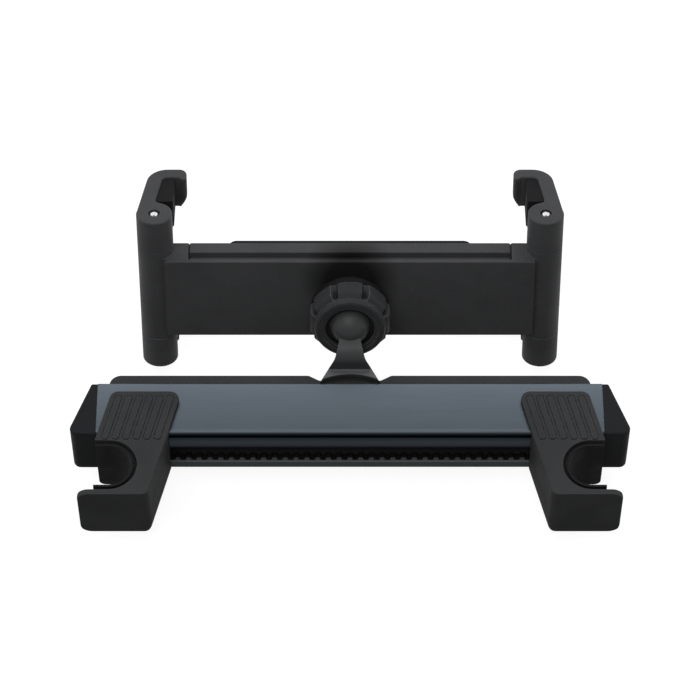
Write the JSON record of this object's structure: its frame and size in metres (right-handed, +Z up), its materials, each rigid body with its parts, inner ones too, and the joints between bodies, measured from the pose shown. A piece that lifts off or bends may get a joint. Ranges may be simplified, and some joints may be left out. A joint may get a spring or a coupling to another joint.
{
  "type": "headrest tablet mount",
  "caption": "Clamp bar with two sliding hooks for headrest posts, and a spring-armed tablet cradle on a lockable ball joint with folding claws.",
  "frame": {"origin": "midway between the axes of the two headrest posts, at the middle of the clamp bar's height", "axes": "+X along the clamp bar, +Y from the headrest posts towards the tablet, +Z up along the posts"},
  "size_m": [0.185, 0.1122, 0.0678],
  "materials": {
    "anodised_aluminium": "fine satin, anodised blue-grey",
    "black_plastic": "fine spark-eroded matt",
    "black_casting": "satin black",
    "black_nylon": "matt",
    "black_rubber": "matt",
    "nylon": "natural",
    "steel": "zinc plated",
    "spring_steel": "drawn wire and strip",
    "pin_steel": "bright"
  },
  "bodies": {
    "base": {"rail_cover": "anodised_aluminium", "rail_body": "black_plastic", "rack_strip": "black_plastic", "left_end_cap": "black_plastic", "right_end_cap": "black_plastic", "ball_arm": "black_casting", "arm_screws": "steel"},
    "left_hook_slider": {"left_hook": "black_plastic", "left_hook_liner": "black_rubber", "left_detent_spring": "spring_steel"},
    "right_hook_slider": {"right_hook": "black_plastic", "right_hook_liner": "black_rubber", "right_detent_spring": "spring_steel"},
    "friction_pad": {"ball_pad": "nylon"},
    "seat": {"ball_seat": "nylon"},
    "cradle": {"cradle_back": "black_plastic", "cradle_front": "black_plastic", "cradle_screws": "steel", "front_pad": "black_rubber", "collet_ring": "black_nylon", "left_arm_spring": "spring_steel", "right_arm_spring": "spring_steel"},
    "nut": {"clamp_nut": "black_plastic"},
    "pinion": {"arm_pinion": "nylon"},
    "left_slide_arm": {"left_arm": "black_plastic"},
    "left_claws": {"left_upper_claw": "black_plastic", "left_lower_claw": "black_plastic", "left_upper_claw_pad": "black_rubber", "left_lower_claw_pad": "black_rubber", "left_claw_pin": "pin_steel"},
    "right_slide_arm": {"right_arm": "black_plastic"},
    "right_claws": {"right_upper_claw": "black_plastic", "right_lower_claw": "black_plastic", "right_upper_claw_pad": "black_rubber", "right_lower_claw_pad": "black_rubber", "right_claw_pin": "pin_steel"}
  },
  "joints": [
    {"name": "left_hook_slide", "type": "slide", "parent": "base", "child": "left_hook_slider", "axis": [1, 0, 0], "range_m": [0, 0.0252], "deforming": ["left_detent_spring"]},
    {"name": "right_hook_slide", "type": "slide", "parent": "base", "child": "right_hook_slider", "axis": [-1, 0, 0], "range_m": [0, 0.0252], "deforming": ["right_detent_spring"]},
    {"name": "ball_tilt", "type": "hinge", "parent": "base", "child": "friction_pad", "pos_m": [0, 0.0497, 0.0211], "axis": [1, 0, 0], "range_deg": [-5, 60]},
    {"name": "ball_pan", "type": "hinge", "parent": "friction_pad", "child": "seat", "pos_m": [0, 0.0497, 0.0211], "axis": [0, 0.2924, 0.9563], "range_deg": [-12, 12]},
    {"name": "ball_roll", "type": "hinge", "parent": "seat", "child": "cradle", "pos_m": [0, 0.0497, 0.0211], "axis": [0, 0.9563, -0.2924], "continuous": true},
    {"name": "nut_turn", "type": "hinge", "parent": "cradle", "child": "nut", "pos_m": [0, 0.0497, 0.0211], "axis": [0, -0.9563, 0.2924], "range_deg": [0, 180]},
    {"name": "right_arm_slide", "type": "slide", "parent": "cradle", "child": "right_slide_arm", "axis": [1, 0, 0], "range_m": [0, 0.04712], "stiffness_N_per_m": 60, "springref_m": -0.03, "deforming": ["right_arm_spring"]},
    {"name": "left_arm_slide", "type": "slide", "parent": "cradle", "child": "left_slide_arm", "axis": [-1, 0, 0], "range_m": [0, 0.04732], "stiffness_N_per_m": 60, "springref_m": -0.03, "deforming": ["left_arm_spring"]},
    {"name": "pinion_spin", "type": "hinge", "parent": "cradle", "child": "pinion", "pos_m": [0, 0.06596, 0.01613], "axis": [0, -0.9563, 0.2924], "range_deg": [0, 541]},
    {"name": "right_claw_fold", "type": "hinge", "parent": "right_slide_arm", "child": "right_claws", "pos_m": [0.065, 0.06883, 0.01525], "axis": [0, 0.2924, 0.9563], "range_deg": [0, 81]},
    {"name": "left_claw_fold", "type": "hinge", "parent": "left_slide_arm", "child": "left_claws", "pos_m": [-0.065, 0.06883, 0.01525], "axis": [0, -0.2924, -0.9563], "range_deg": [0, 81]}
  ],
  "couplings": [
    {"joint": "left_arm_slide", "follows": "right_arm_slide", "ratio": 1},
    {"joint": "pinion_spin", "follows": "right_arm_slide", "rad_per_m": 200}
  ]
}
